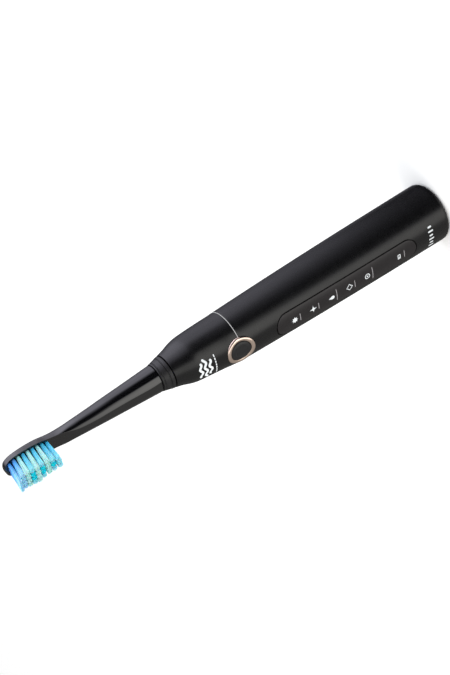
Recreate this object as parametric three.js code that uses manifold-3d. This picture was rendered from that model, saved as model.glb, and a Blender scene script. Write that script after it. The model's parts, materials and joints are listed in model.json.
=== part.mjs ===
// Sonic electric toothbrush standing upright on its flat base.
// Millimetres, +Z up from the base to the brush head. The front, with the button, the indicator
// panel and the bristles, faces -Y. The handle stands round the Z axis. The drive shaft and the brush
// head share a parallel axis a little behind it, and the shoulder leans back to meet them.
import * as THREE from 'three';
import { mergeVertices } from 'three/addons/utils/BufferGeometryUtils.js';
import Module from 'manifold-3d';

const wasm = await Module();
wasm.setup();

// ---- driving dimensions -------------------------------------------------------------------

const GAP = 0.3; // room left between two pieces that touch or press into each other
const RUNNING = 0.06; // radial clearance of the shaft in its bearings
const ROUND = 40; // facets round the casing
const SMALL_ROUND = 20; // facets round small parts

const BASE_RADIUS = 14;
const SEAM_RADIUS = 12.25;
const SEAM_Z = 116;
const BASE_ROUNDING = 2.6;
const SHELL_WALL = 1.6;
const SHOULDER_TOP = 147.1;

const BUTTON_Z = 116.4;
const BEZEL_RADIUS = 6.9;
const BEZEL_BORE = 5.15;
const BEZEL_PROUD = 0.45;
const BUTTON_TRAVEL = 0.5;
const BUTTON_BACK = -10.9; // y of the cap's inner face

const PANEL_LOW = 20.2;
const PANEL_HIGH = 97.6;
const PANEL_HALF_WIDTH = 5.7;
const PANEL_DEPTH = 0.8;
const INDICATOR_Z = [30, 48, 58, 68, 78, 88];

const CAP_RADIUS = 10.6;
const WELL_RADIUS = 4.6;
const WELL_DEPTH = 13.4;

const CHASSIS_RADIUS = 10.3;
const CHASSIS_WALL = 1;
const CHASSIS_LOW = 18;
const CHASSIS_HIGH = 112;
const DECK_Z = 74.6;
const DECK_THICK = 3;

const BOARD_FRONT = -8.2;
const BOARD_THICK = 1;
const BOARD_LOW = 20.5;
const BOARD_HIGH = 122;
const BOARD_HALF_WIDTH = 6;

const CELL_RADIUS = 6.9;
const CELL_LOW = 22;
const CELL_HIGH = 71.6;
const CELL_Y = 1;

const MOTOR_RADIUS = 6.9;
const MOTOR_LOW = 80;
const MOTOR_HIGH = 112;
const PLATE_THICK = 1.5;

const DRIVE_Y = 1.2; // y of the axis that the shaft and the brush head turn on
const SHAFT_RADIUS = 1.5;
const SHAFT_LOW = 78.6;
const SHAFT_HIGH = 168;

const RING_LOW = 147.5;
const RING_HIGH = 152.8;
const NECK_LOW = 153.1;
const HEAD_TIP = 229.6;
const INSERT_RADIUS = 3.2;

const ROW_FIRST_Z = 208.8;
const ROW_PITCH = 2.3;
const ROW_THICK = 1.6;
const ROW_MARGIN = 1.2; // between the outer tufts and the edge of the bristle plate
const ROW_LENGTHS = [11.4, 10.9, 10.7, 10.6, 11.3, 10.9, 10.7, 10.5, 11.7]; // neck end first
const ROW_LEAN = 0.16; // radians that the bristles lean towards the tip

// ---- solids and booleans ------------------------------------------------------------------

// Closed, outward-facing geometry that holds only positions and an index.
function closed(geometry) {
  const bare = geometry.clone();
  bare.deleteAttribute('normal');
  bare.deleteAttribute('uv');
  const merged = mergeVertices(bare, 1e-4);
  const position = merged.getAttribute('position');
  const index = merged.getIndex().array;
  const corners = [0, 1, 2].map(() => new THREE.Vector3());
  const kept = [];
  let volume = 0;
  for (let i = 0; i < index.length; i += 3) {
    const [a, b, c] = index.slice(i, i + 3);
    if (a === b || b === c || c === a) {
      continue;
    }
    kept.push(a, b, c);
    corners[0].fromBufferAttribute(position, a);
    corners[1].fromBufferAttribute(position, b);
    corners[2].fromBufferAttribute(position, c);
    volume += corners[0].dot(corners[1].cross(corners[2]));
  }
  if (volume < 0) {
    kept.reverse();
  }
  merged.setIndex(kept);
  return merged;
}

function toSolid(geometry) {
  const body = closed(geometry);
  return new wasm.Manifold(
    new wasm.Mesh({
      numProp: 3,
      vertProperties: new Float32Array(body.getAttribute('position').array),
      triVerts: new Uint32Array(body.getIndex().array),
    }),
  );
}

function toGeometry(solid) {
  const mesh = solid.getMesh();
  const geometry = new THREE.BufferGeometry();
  geometry.setAttribute('position', new THREE.BufferAttribute(new Float32Array(mesh.vertProperties), 3));
  geometry.setIndex(Array.from(mesh.triVerts));
  return geometry;
}

function cut(base, ...tools) {
  const start = toSolid(base);
  return toGeometry(tools.reduce((solid, tool) => solid.subtract(toSolid(tool)), start));
}

function join(...geometries) {
  const [first, ...others] = geometries.map(toSolid);
  return toGeometry(others.reduce((solid, other) => solid.add(other), first));
}

function common(a, b) {
  return toGeometry(toSolid(a).intersect(toSolid(b)));
}

// ---- basic shapes -------------------------------------------------------------------------

// Solid of revolution about Z from [radius, z] corners. A profile off the axis closes on itself.
function turned(profile, segments = SMALL_ROUND) {
  const points = profile.map(([radius, z]) => new THREE.Vector2(radius, z));
  const onAxis = profile[0][0] === 0 && profile.at(-1)[0] === 0;
  if (!onAxis) {
    points.push(points[0].clone());
  }
  return closed(new THREE.LatheGeometry(points, segments).rotateX(Math.PI / 2));
}

function tube(outer, inner, low, high, segments = SMALL_ROUND) {
  return turned([[inner, low], [outer, low], [outer, high], [inner, high]], segments);
}

function rod(radius, low, high, segments = SMALL_ROUND) {
  return turned([[0, low], [radius, low], [radius, high], [0, high]], segments);
}

// Rod along Y, from one y to another, centred on x and z.
function crossRod(radius, yLow, yHigh, x, z, segments = SMALL_ROUND) {
  return rod(radius, yLow, yHigh, segments).rotateX(-Math.PI / 2).translate(x, 0, z);
}

function block(xLow, xHigh, yLow, yHigh, zLow, zHigh) {
  const box = new THREE.BoxGeometry(xHigh - xLow, yHigh - yLow, zHigh - zLow);
  return closed(box.translate((xLow + xHigh) / 2, (yLow + yHigh) / 2, (zLow + zHigh) / 2));
}

// Part of a tube that spans half an angle to each side of a centre angle, measured from +X.
function sector(inner, outer, centre, halfAngle, low, high, segments = 6) {
  const shape = new THREE.Shape();
  shape.absarc(0, 0, outer, centre - halfAngle, centre + halfAngle, false);
  shape.absarc(0, 0, inner, centre + halfAngle, centre - halfAngle, true);
  const settings = { depth: high - low, bevelEnabled: false, curveSegments: segments };
  return closed(new THREE.ExtrudeGeometry(shape, settings).translate(0, 0, low));
}

// Slot-shaped prism with round ends, standing on the XZ plane and reaching towards -Y.
function slotPrism(halfWidth, low, high, depth) {
  const shape = new THREE.Shape();
  shape.absarc(0, high - halfWidth, halfWidth, 0, Math.PI, false);
  shape.absarc(0, low + halfWidth, halfWidth, Math.PI, 2 * Math.PI, false);
  const settings = { depth, bevelEnabled: false, curveSegments: 9 };
  return closed(new THREE.ExtrudeGeometry(shape, settings).rotateX(Math.PI / 2));
}

// Round wire along a list of points.
function wire(points, radius, steps, sides = 6) {
  const section = new THREE.Shape();
  section.absarc(0, 0, radius, 0, 2 * Math.PI, false);
  const path = new THREE.CatmullRomCurve3(points.map((point) => new THREE.Vector3(...point)));
  const settings = { steps, curveSegments: sides / 2, extrudePath: path, bevelEnabled: false };
  return closed(new THREE.ExtrudeGeometry(section, settings));
}

// Smooth value between [position, value] stations.
function stations(list) {
  return (at) => {
    const last = list.length - 1;
    let k = list.findIndex(([position]) => position > at) - 1;
    k = k < 0 ? (at < list[0][0] ? 0 : last - 1) : k;
    const [p0, v0] = list[k];
    const [p1, v1] = list[k + 1];
    const before = list[Math.max(k - 1, 0)];
    const after = list[Math.min(k + 2, last)];
    const slope0 = (v1 - before[1]) / (p1 - before[0]);
    const slope1 = (after[1] - v0) / (after[0] - p0);
    const span = p1 - p0;
    const t = THREE.MathUtils.clamp((at - p0) / span, 0, 1);
    const s = t * t;
    const c = s * t;
    return (
      (2 * c - 3 * s + 1) * v0 +
      (c - 2 * s + t) * span * slope0 +
      (3 * s - 2 * c) * v1 +
      (c - s) * span * slope1
    );
  };
}

// ---- casing -------------------------------------------------------------------------------

const shoulderRadius = stations([
  [SEAM_Z, SEAM_RADIUS],
  [124, 11.65],
  [132, 11.1],
  [137, 10.65],
  [140.5, 9.85],
  [143.6, 8.8],
  [SHOULDER_TOP, 7.9],
]);

// How far behind the Z axis the middle of the shoulder is at a level.
const shoulderLean = stations([
  [SEAM_Z, 0],
  [119, 0.1],
  [124, 0.5],
  [132, 0.9],
  [140, 1.1],
  [145, DRIVE_Y],
  [SHOULDER_TOP, DRIVE_Y],
]);

function casingRadius(z) {
  if (z > SEAM_Z) {
    return shoulderRadius(z);
  }
  return BASE_RADIUS - (BASE_RADIUS - SEAM_RADIUS) * (z / SEAM_Z) ** 2;
}

function evenly(low, high, count) {
  return Array.from({ length: count }, (_, i) => low + ((high - low) * i) / (count - 1));
}

// Outline of the casing's outside, drawn in from the surface by an inset.
function casingOutline(low, high, count, inset = 0) {
  return evenly(low, high, count).map((z) => [casingRadius(z) - inset, z]);
}

const buttonHole = crossRod(BEZEL_RADIUS + GAP, -20, -5, 0, BUTTON_Z, 32);
const FLOOR_HIGH = 6;
const BAND_HALF_HEIGHT = 0.25;
const BARREL_HIGH = SEAM_Z - BAND_HALF_HEIGHT - GAP;
const SHOULDER_LOW = SEAM_Z + BAND_HALF_HEIGHT + GAP;
const SURFACE_STEPS = 7;

function barrelShell() {
  const rounding = evenly(0, Math.PI / 2, 5).map((angle) => [
    BASE_RADIUS - BASE_ROUNDING * (1 - Math.sin(angle)),
    BASE_ROUNDING * (1 - Math.cos(angle)),
  ]);
  const outside = casingOutline(BASE_ROUNDING, BARREL_HIGH, SURFACE_STEPS);
  const inside = casingOutline(FLOOR_HIGH, BARREL_HIGH, 4, SHELL_WALL).reverse();
  const throat = CAP_RADIUS + GAP;
  const profile = [[throat, 0], ...rounding.slice(0, -1), ...outside, ...inside, [throat, FLOOR_HIGH]];
  const pocket = cut(
    slotPrism(PANEL_HALF_WIDTH + GAP, PANEL_LOW - GAP, PANEL_HIGH + GAP, 20),
    turned([[0, 0], ...casingOutline(0, SEAM_Z, SURFACE_STEPS, PANEL_DEPTH + GAP), [0, SEAM_Z]], ROUND),
  );
  const windows = INDICATOR_Z.map((z) => crossRod(1.6, -20, -8, 0, z, 8));
  return cut(turned(profile, ROUND), pocket, buttonHole, ...windows);
}

function indicatorPanel() {
  const outside = casingOutline(10, 110, SURFACE_STEPS);
  const inside = casingOutline(10, 110, SURFACE_STEPS, PANEL_DEPTH).reverse();
  const skin = turned([...outside, ...inside], ROUND);
  return common(slotPrism(PANEL_HALF_WIDTH, PANEL_LOW, PANEL_HIGH, 20), skin);
}

// Moves every level of a shape back with the lean of the shoulder.
function leant(geometry) {
  const position = geometry.getAttribute('position');
  for (let i = 0; i < position.count; i += 1) {
    position.setY(i, position.getY(i) + shoulderLean(position.getZ(i)));
  }
  return geometry;
}

function shoulderShell() {
  const outside = casingOutline(SHOULDER_LOW, SHOULDER_TOP, 10);
  const roof = SHOULDER_TOP - 1.5;
  const inside = casingOutline(SHOULDER_LOW, roof, 5, SHELL_WALL).reverse();
  const mouth = 4.4;
  const shell = turned([...outside, [mouth, SHOULDER_TOP], [mouth, roof], ...inside], ROUND);
  return cut(leant(shell), buttonHole);
}

function seamBand() {
  const [low, high] = [SEAM_Z - BAND_HALF_HEIGHT, SEAM_Z + BAND_HALF_HEIGHT];
  return cut(tube(SEAM_RADIUS, SEAM_RADIUS - 1.2, low, high, ROUND), buttonHole);
}

// Closed at the top, with the inductive charging well open at the bottom.
function baseCap() {
  const grooveRadius = 9.2;
  const wellTop = WELL_DEPTH + 1.2;
  const sleeve = WELL_RADIUS + 1.2;
  return turned(
    [
      [0, WELL_DEPTH],
      [WELL_RADIUS, WELL_DEPTH],
      [WELL_RADIUS, 0],
      [CAP_RADIUS, 0],
      [CAP_RADIUS, 3],
      [grooveRadius, 3],
      [grooveRadius, 4.4],
      [CAP_RADIUS, 4.4],
      [CAP_RADIUS, 5.6],
      [sleeve, 5.6],
      [sleeve, wellTop],
      [0, wellTop],
    ],
    40,
  );
}

// ---- button -------------------------------------------------------------------------------

// Whatever of a part lies inside the casing's curved outside, moved out by an offset.
function withinSurface(geometry, offset) {
  const radius = casingRadius(BUTTON_Z) + offset;
  return common(geometry, rod(radius, BUTTON_Z - 10, BUTTON_Z + 10, 48));
}

function buttonBezel() {
  const ring = cut(
    crossRod(BEZEL_RADIUS, -16, -8.8, 0, BUTTON_Z, 32),
    crossRod(BEZEL_BORE, -18, -7, 0, BUTTON_Z, 32),
  );
  return withinSurface(ring, BEZEL_PROUD);
}

function powerButton() {
  const cap = crossRod(BEZEL_BORE - GAP, -16, BUTTON_BACK, 0, BUTTON_Z, 32);
  return withinSurface(cap, 0.1);
}

// The cap's travel ends just before it would meet the switch housing.
function tactSwitch() {
  const front = BUTTON_BACK + BUTTON_TRAVEL + GAP;
  const housing = block(-3, 3, front, BOARD_FRONT - GAP, BUTTON_Z - 3, BUTTON_Z + 3);
  return cut(housing, crossRod(1.9, -12, -8.9, 0, BUTTON_Z, 16));
}

function switchPlunger() {
  const front = BUTTON_BACK + GAP;
  return crossRod(1.6, front, front + 1.1, 0, BUTTON_Z, 16);
}

// ---- electronics --------------------------------------------------------------------------

const SCREW_X = 4.2;
const SCREW_Z = DECK_Z + DECK_THICK / 2;

function circuitBoard() {
  const low = BOARD_FRONT;
  const high = BOARD_FRONT + BOARD_THICK;
  const narrow = 4.4;
  return cut(
    join(
      block(-BOARD_HALF_WIDTH, BOARD_HALF_WIDTH, low, high, BOARD_LOW, 110),
      block(-narrow, narrow, low, high, 109, BOARD_HIGH),
    ),
    crossRod(1.2, -10, -6, SCREW_X, SCREW_Z, 12),
    crossRod(1.2, -10, -6, -SCREW_X, SCREW_Z, 12),
  );
}

function boardScrew(side) {
  const x = side * SCREW_X;
  return join(
    crossRod(0.9, BOARD_FRONT - 0.5, -3.9, x, SCREW_Z, 12),
    crossRod(1.7, BOARD_FRONT - GAP - 0.8, BOARD_FRONT - GAP, x, SCREW_Z, 16),
  );
}

function indicatorLight(z) {
  return block(-0.8, 0.8, BOARD_FRONT - GAP - 0.7, BOARD_FRONT - GAP, z - 0.5, z + 0.5);
}

function lightGuide() {
  const posts = INDICATOR_Z.map((z) => crossRod(1.1, -11.6, -10, 0, z, 8));
  return join(block(-1.7, 1.7, -10.5, -9.5, INDICATOR_Z[0] - 4, INDICATOR_Z.at(-1) + 4), ...posts);
}

function batteryCell() {
  return turned([
    [0, CELL_LOW],
    [CELL_RADIUS - 0.5, CELL_LOW],
    [CELL_RADIUS, CELL_LOW + 0.5],
    [CELL_RADIUS, CELL_HIGH - 1.2],
    [CELL_RADIUS - 0.5, CELL_HIGH - 0.8],
    [2.8, CELL_HIGH - 0.8],
    [2.8, CELL_HIGH],
    [0, CELL_HIGH],
  ]).translate(0, CELL_Y, 0);
}

// Nickel strip across one end of the cell, bent up behind the board.
function batteryTab(z) {
  return block(-2, 2, -6.6, CELL_Y + 3, z, z + 0.3);
}

// ---- charging coil ------------------------------------------------------------------------

const BOBBIN_LOW = 6.2;
const BOBBIN_HIGH = 14;
const BOBBIN_BORE = WELL_RADIUS + 1.2 + GAP;

function coilBobbin() {
  const core = BOBBIN_BORE + 0.6;
  const flange = 9.6;
  return turned([
    [BOBBIN_BORE, BOBBIN_LOW],
    [flange, BOBBIN_LOW],
    [flange, BOBBIN_LOW + 0.8],
    [core, BOBBIN_LOW + 0.8],
    [core, BOBBIN_HIGH - 0.8],
    [flange, BOBBIN_HIGH - 0.8],
    [flange, BOBBIN_HIGH],
    [BOBBIN_BORE, BOBBIN_HIGH],
  ]);
}

function chargingCoil() {
  return tube(9.2, BOBBIN_BORE + 0.6 + GAP, BOBBIN_LOW + 0.8 + GAP, BOBBIN_HIGH - 0.8 - GAP);
}

function coilLead(side) {
  const x = side * 3;
  return wire(
    [
      [x, -8.2, BOBBIN_HIGH + 0.8],
      [x, -8.6, 16.2],
      [x, -7.6, 17.6],
      [x, -7.8, BOARD_LOW - GAP],
    ],
    0.4,
    8,
  );
}

// ---- chassis ------------------------------------------------------------------------------

// Half tube behind the battery and the motor, with a floor and a deck that carry the board and
// a collar that holds the motor.
function chassis() {
  const trayInner = CHASSIS_RADIUS - CHASSIS_WALL;
  const tray = sector(trayInner, CHASSIS_RADIUS, Math.PI / 2, 1.9, CHASSIS_LOW, CHASSIS_HIGH, 14);
  const plateRadius = CHASSIS_RADIUS - CHASSIS_WALL / 2;
  const front = BOARD_FRONT + BOARD_THICK + GAP;
  const frontCut = block(-20, 20, -20, front, 0, 200);
  const floor = rod(plateRadius, CHASSIS_LOW, CHASSIS_LOW + 1.5, 40);
  const deck = rod(plateRadius, DECK_Z, DECK_Z + DECK_THICK, 40);
  const collar = cut(
    rod(plateRadius, 106, 107.5, 40),
    rod(MOTOR_RADIUS + GAP, 105, 108, 40).translate(0, DRIVE_Y, 0),
  );
  const plates = cut(
    join(floor, deck, collar),
    frontCut,
    crossRod(1.2, -8, -3.6, SCREW_X, SCREW_Z, 12),
    crossRod(1.2, -8, -3.6, -SCREW_X, SCREW_Z, 12),
  );
  return join(tray, plates);
}

// ---- motor, on the Z axis until it is assembled ------------------------------------------------

const STATOR_OUTER = 5.9;
const STATOR_INNER = 4.5;
const BEARING_RADIUS = 2.6;

function motorPlate(low) {
  return tube(MOTOR_RADIUS, BEARING_RADIUS + GAP, low, low + PLATE_THICK);
}

function bearing(low, high) {
  return tube(BEARING_RADIUS, SHAFT_RADIUS + RUNNING, low, high);
}

function winding(centre) {
  return cut(
    sector(STATOR_INNER, STATOR_OUTER, centre, 0.62, 88, 104),
    sector(STATOR_INNER - 1, STATOR_OUTER + 1, centre, 0.33, 91, 101),
  );
}

function statorPole(centre) {
  return sector(STATOR_INNER, STATOR_OUTER, centre, 0.24, 91.6, 100.4);
}

function magnet(centre) {
  return sector(3.1, 4.1, centre, 1.2, 87, 105);
}

// The flat on the upper end keys the brush head to the shaft.
function driveShaft() {
  const flat = block(-3, 3, -3, -SHAFT_RADIUS + 0.35, 150, SHAFT_HIGH + 1);
  const shaft = turned([
    [0, SHAFT_LOW],
    [SHAFT_RADIUS, SHAFT_LOW],
    [SHAFT_RADIUS, SHAFT_HIGH - 0.5],
    [SHAFT_RADIUS - 0.5, SHAFT_HIGH],
    [0, SHAFT_HIGH],
  ]);
  return cut(shaft, flat);
}

function torsionSpring() {
  const turns = 3.5;
  const coilRadius = 3.1;
  const low = 115.2;
  const high = 125.6;
  const points = evenly(0, 1, 36).map((t) => {
    const angle = 2 * Math.PI * turns * t;
    return [coilRadius * Math.cos(angle), coilRadius * Math.sin(angle), low + (high - low) * t];
  });
  return wire(points, 0.4, 42);
}

// ---- shaft exit ---------------------------------------------------------------------------

// Disc across the shoulder, with a hole for the bushing on the shaft's axis.
function bulkhead() {
  const [low, high] = [131, 134];
  const disc = rod(9, low, high, 32).translate(0, shoulderLean((low + high) / 2), 0);
  return cut(disc, rod(3.2, low - 1, high + 1).translate(0, DRIVE_Y, 0));
}

// Rubber boot: a flange under the casing's roof, a plug in its mouth and a cone round the shaft.
function shaftSeal() {
  const bore = SHAFT_RADIUS + RUNNING;
  return turned([
    [bore, 141],
    [3.4, 141],
    [4.1, 143.2],
    [6, 143.6],
    [6, 145.3],
    [4.1, 145.3],
    [4.1, 147],
    [3.2, 147.4],
    [2.3, 149.2],
    [bore, 149.2],
  ]);
}

// ---- brush head ---------------------------------------------------------------------------

// Matt collar at the foot of the head: a band, a groove, a cone, a second groove and a bead.
function headRing() {
  const bore = 4;
  return turned(
    [
      [bore, RING_LOW],
      [7.6, RING_LOW],
      [7.8, RING_LOW + 0.25],
      [7.5, 149.1],
      [7.15, 149.2],
      [7.15, 149.45],
      [7.3, 149.6],
      [6.8, 151.7],
      [6.5, 151.8],
      [6.5, 152.05],
      [6.7, 152.3],
      [6.5, RING_HIGH],
      [bore, RING_HIGH],
    ],
    32,
  );
}

// The neck and head are laid out round the shaft's axis: half width, and reach to the back and front.
const neckHalfWidth = stations([
  [NECK_LOW, 6.4], [158, 6.13], [162, 5.9], [170, 5.45], [178, 5.05], [186, 4.55], [194, 4.15],
  [199, 3.75], [203, 3.45], [206, 3.45], [209, 3.9], [213, 4.8], [217, 5.2], [223, 5.3],
  [226, 4.9], [228.4, 3.8], [HEAD_TIP, 2.2],
]);
const neckBack = stations([
  [NECK_LOW, 6.4], [158, 6.13], [162, 5.9], [170, 5.48], [178, 5.1], [186, 4.65], [194, 4.3],
  [203, 4.05], [208, 3.8], [214, 3.6], [218, 3.5], [222, 3.3], [226, 3], [HEAD_TIP, 2.3],
]);
const neckBelly = stations([
  [NECK_LOW, 6.4], [162, 5.88], [170, 5.35], [178, 4.85], [186, 4.35], [194, 3.7], [200, 3.3],
]);
const neckFlat = stations([
  [NECK_LOW, -5.95], [158, -5.8], [162, -5.55], [170, -5], [178, -4.55], [186, -4.1], [194, -3.3],
  [198, -2.5], [201, -1.75], [204, -1], [207, -0.5], [210, -0.35], [214, -0.35], [218, -0.35],
  [HEAD_TIP, -0.3],
]);

const NECK_LEVELS = [
  NECK_LOW, 160, 167, 175, 183, 190, 196, 200, 203, 205.5, 208, 210.5, 213.5, 217, 221, 224.5, 227,
  228.6, HEAD_TIP,
];
const NECK_FACETS = 32;

// The section is an oval whose front is cut off flat. Towards the head its sides grow upright and
// the flat becomes the bristle plate.
function neckSection(z) {
  const halfWidth = neckHalfWidth(z);
  const front = neckFlat(z);
  const plate = THREE.MathUtils.smoothstep(z, 196, 212);
  const power = THREE.MathUtils.lerp(1, 0.45, plate);
  const centre = THREE.MathUtils.lerp(0, front * 0.93, plate);
  const back = neckBack(z) - centre;
  const belly = THREE.MathUtils.lerp(neckBelly(z), 0.4, plate);
  return Array.from({ length: NECK_FACETS }, (_, i) => {
    const angle = (2 * Math.PI * (i + 0.5)) / NECK_FACETS;
    const side = Math.sign(Math.cos(angle)) * Math.abs(Math.cos(angle)) ** power;
    const rise = Math.sign(Math.sin(angle)) * Math.abs(Math.sin(angle)) ** power;
    const depth = rise > 0 ? back : belly;
    return [halfWidth * side, Math.max(centre + depth * rise, front), z];
  });
}

// Skin over a stack of sections with the same number of points, closed at both ends.
function lofted(sections) {
  const around = sections[0].length;
  const positions = sections.flat(2);
  const index = [];
  for (let s = 0; s < sections.length - 1; s += 1) {
    for (let i = 0; i < around; i += 1) {
      const next = (i + 1) % around;
      const a = s * around + i;
      const b = s * around + next;
      index.push(a, b, b + around, a, b + around, a + around);
    }
  }
  const top = (sections.length - 1) * around;
  for (let i = 1; i < around - 1; i += 1) {
    index.push(0, i + 1, i);
    index.push(top, top + i, top + i + 1);
  }
  const geometry = new THREE.BufferGeometry();
  geometry.setAttribute('position', new THREE.Float32BufferAttribute(positions, 3));
  geometry.setIndex(index);
  return closed(geometry);
}

function brushNeck() {
  const bore = rod(INSERT_RADIUS + GAP, NECK_LOW - 1, SHAFT_HIGH + 1.2, 24);
  return cut(lofted(NECK_LEVELS.map(neckSection)), bore);
}

// Socket that takes the shaft's flat, and the split steel sleeve that grips the shaft above it.
function driveInsert() {
  const bore = SHAFT_RADIUS + GAP;
  const keyed = block(-3, 3, -4, -SHAFT_RADIUS + 0.05, 150, 162);
  return join(
    tube(INSERT_RADIUS, bore, 150, 161.6, 24),
    common(keyed, tube(INSERT_RADIUS, bore - 0.4, 151, 161.6, 24)),
  );
}

function clipSleeve() {
  const slot = block(-0.5, 0.5, -5, 0, 160, 170);
  return cut(tube(2.6, SHAFT_RADIUS + GAP, 162, 168.4, 24), slot);
}

// One row of tufts as a plain block, leaning towards the tip and standing on the bristle plate.
function bristleRow(row) {
  const z = ROW_FIRST_Z + ROW_PITCH * row;
  const halfWidth = neckHalfWidth(z) - ROW_MARGIN;
  const tufts = block(-halfWidth, halfWidth, -ROW_LENGTHS[row], 0, -ROW_THICK / 2, ROW_THICK / 2);
  const rootGap = GAP + (ROW_THICK / 2) * Math.sin(ROW_LEAN);
  return tufts.rotateX(-ROW_LEAN).translate(0, neckFlat(z) - rootGap, z);
}

// ---- materials ----------------------------------------------------------------------------

function finish(color, roughness, metalness = 0) {
  return new THREE.MeshStandardMaterial({ color, roughness, metalness });
}

const FINISHES = {
  satinBlack: finish(0x17171b, 0.45),
  glossBlack: finish(0x0c0c0e, 0.12),
  mattBlack: finish(0x1c1c1e, 0.6),
  panel: finish(0x2b292c, 0.4),
  lightGrey: finish(0xb8b8b8, 0.5),
  roseGold: finish(0xd9a890, 0.25, 1),
  rubber: finish(0x202022, 0.8),
  clearPlastic: finish(0xdfe6ea, 0.3),
  greyPlastic: finish(0x8a8d90, 0.55),
  board: finish(0x1d5a34, 0.5),
  chip: finish(0x151515, 0.5),
  steel: finish(0xb9bcc0, 0.3, 1),
  copper: finish(0xb4693a, 0.35, 1),
  magnet: finish(0x8f9296, 0.35, 1),
  cell: finish(0x2f63a8, 0.4),
  bristleBlue: finish(0x5a9ff0, 0.6),
  bristleMint: finish(0xa8f0e0, 0.6),
  bristleCyan: finish(0x5cc8f8, 0.6),
};

// ---- assembly -----------------------------------------------------------------------------

const toothbrush = new THREE.Group();

function add(name, geometry, material) {
  const mesh = new THREE.Mesh(geometry, material.clone());
  mesh.name = name;
  toothbrush.add(mesh);
}

function addOnShaftAxis(name, geometry, material) {
  add(name, geometry.translate(0, DRIVE_Y, 0), material);
}

add('barrel_shell', barrelShell(), FINISHES.satinBlack);
add('shoulder_shell', shoulderShell(), FINISHES.satinBlack);
add('seam_band', seamBand(), FINISHES.lightGrey);
add('indicator_panel', indicatorPanel(), FINISHES.panel);
add('base_cap', baseCap(), FINISHES.satinBlack);
add('base_seal', tube(10.65, 9.5, 3.3, 4.1, 40), FINISHES.rubber);

add('button_bezel', buttonBezel(), FINISHES.roseGold);
add('power_button', powerButton(), FINISHES.mattBlack);
add('switch_plunger', switchPlunger(), FINISHES.greyPlastic);
add('tact_switch', tactSwitch(), FINISHES.chip);

add('circuit_board', circuitBoard(), FINISHES.board);
add('controller_chip', block(-2.5, 2.5, -9.4, BOARD_FRONT - GAP, 100, 105), FINISHES.chip);
add('light_guide', lightGuide(), FINISHES.clearPlastic);
INDICATOR_Z.forEach((z, i) => add(`indicator_led_${i + 1}`, indicatorLight(z), FINISHES.lightGrey));
add('board_screw_left', boardScrew(-1), FINISHES.steel);
add('board_screw_right', boardScrew(1), FINISHES.steel);

add('battery_cell', batteryCell(), FINISHES.cell);
add('battery_tab_low', batteryTab(CELL_LOW - GAP - 0.3), FINISHES.steel);
add('battery_tab_high', batteryTab(CELL_HIGH + GAP), FINISHES.steel);

add('coil_bobbin', coilBobbin(), FINISHES.greyPlastic);
add('charging_coil', chargingCoil(), FINISHES.copper);
add('coil_lead_left', coilLead(-1), FINISHES.copper);
add('coil_lead_right', coilLead(1), FINISHES.copper);

add('chassis', chassis(), FINISHES.greyPlastic);
addOnShaftAxis('motor_can', tube(MOTOR_RADIUS, 6.2, MOTOR_LOW, MOTOR_HIGH), FINISHES.steel);
addOnShaftAxis('motor_rear_plate', motorPlate(MOTOR_LOW - GAP - PLATE_THICK), FINISHES.steel);
addOnShaftAxis('motor_front_plate', motorPlate(MOTOR_HIGH + GAP), FINISHES.steel);
addOnShaftAxis('rear_bearing', bearing(78.3, 80.3), FINISHES.steel);
addOnShaftAxis('front_bearing', bearing(111.8, 113.8), FINISHES.steel);
addOnShaftAxis('stator_pole_left', statorPole(Math.PI), FINISHES.steel);
addOnShaftAxis('stator_pole_right', statorPole(0), FINISHES.steel);
addOnShaftAxis('winding_left', winding(Math.PI), FINISHES.copper);
addOnShaftAxis('winding_right', winding(0), FINISHES.copper);

addOnShaftAxis('drive_shaft', driveShaft(), FINISHES.steel);
addOnShaftAxis('rotor_core', tube(2.8, SHAFT_RADIUS + GAP, 86, 106), FINISHES.steel);
addOnShaftAxis('magnet_front', magnet(-Math.PI / 2), FINISHES.magnet);
addOnShaftAxis('magnet_back', magnet(Math.PI / 2), FINISHES.magnet);
addOnShaftAxis('torsion_spring', torsionSpring(), FINISHES.steel);
addOnShaftAxis('spring_hub', tube(3.6, SHAFT_RADIUS + GAP, 126.6, 129.4), FINISHES.steel);

add('bulkhead', bulkhead(), FINISHES.greyPlastic);
addOnShaftAxis('shaft_bushing', tube(2.9, SHAFT_RADIUS + RUNNING, 130.4, 134.6), FINISHES.greyPlastic);
addOnShaftAxis('shaft_seal', shaftSeal(), FINISHES.rubber);

addOnShaftAxis('head_ring', headRing(), FINISHES.mattBlack);
addOnShaftAxis('brush_neck', brushNeck(), FINISHES.glossBlack);
addOnShaftAxis('drive_insert', driveInsert(), FINISHES.greyPlastic);
addOnShaftAxis('clip_sleeve', clipSleeve(), FINISHES.steel);

const ROW_FINISHES = [
  FINISHES.bristleCyan,
  FINISHES.bristleCyan,
  FINISHES.bristleMint,
  FINISHES.bristleCyan,
  FINISHES.bristleMint,
  FINISHES.bristleCyan,
  FINISHES.bristleMint,
  FINISHES.bristleBlue,
  FINISHES.bristleBlue,
];
ROW_FINISHES.forEach((material, row) => {
  addOnShaftAxis(`bristle_row_${row + 1}`, bristleRow(row), material);
});

export default toothbrush;
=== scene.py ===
"""Looks of a sonic electric toothbrush that stands upright on its base.

Metres, +Z up from the base to the brush head, -Y the front with the button, panel and bristles.
"""

import json
import math
import random

import bmesh
import bpy
from mathutils import Matrix, Vector


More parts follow.
